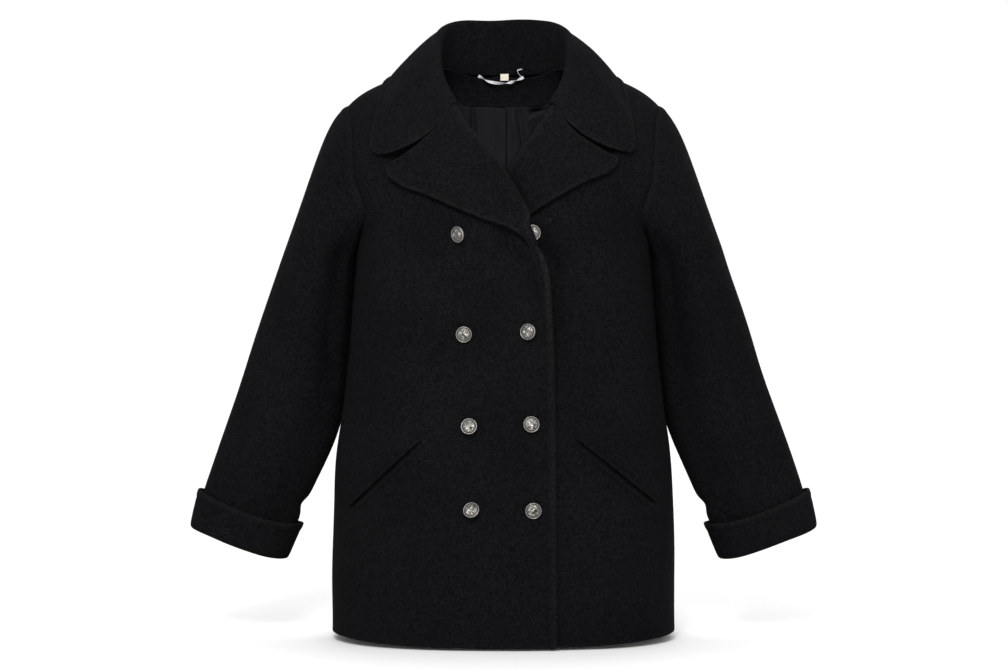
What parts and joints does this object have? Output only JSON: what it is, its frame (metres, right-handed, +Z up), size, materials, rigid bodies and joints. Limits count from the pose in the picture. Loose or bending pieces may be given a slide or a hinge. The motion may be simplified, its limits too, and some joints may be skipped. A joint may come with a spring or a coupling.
{
  "type": "double-breasted short overcoat",
  "caption": "Dark wool short overcoat, double-breasted, with a wide collar, broad lapels, domed metal buttons, slanting pockets and turned-back cuffs, filled out as worn.",
  "frame": {"origin": "middle of the neck at the height of the back neck seam, where the coat is held", "axes": "+Z up, the coat faces -Y, +X is the wearer's left"},
  "size_m": [0.8684, 0.3169, 0.8671],
  "materials": {
    "wool": "thick napped wool, matt",
    "lining": "smooth lining cloth, slight sheen",
    "buttons": "domed metal, worn bright",
    "ribbon": "thin satin ribbon",
    "tab": "plain woven tape"
  },
  "bodies": {
    "root": {"back": "wool", "front_right": "wool", "front_left": "wool", "lapel_right": "wool", "lapel_left": "wool", "collar": "wool", "back_neck_facing": "wool", "sleeve_right": "wool", "sleeve_left": "wool", "cuff_right": "wool", "cuff_left": "wool", "pocket_right": "wool", "pocket_left": "wool", "lining_back": "lining", "button_outer_1": "buttons", "button_outer_2": "buttons", "button_outer_3": "buttons", "button_outer_4": "buttons", "button_inner_1": "buttons", "button_inner_2": "buttons", "button_inner_3": "buttons", "button_inner_4": "buttons", "hanger_loop": "ribbon", "size_tab": "tab"}
  },
  "joints": []
}
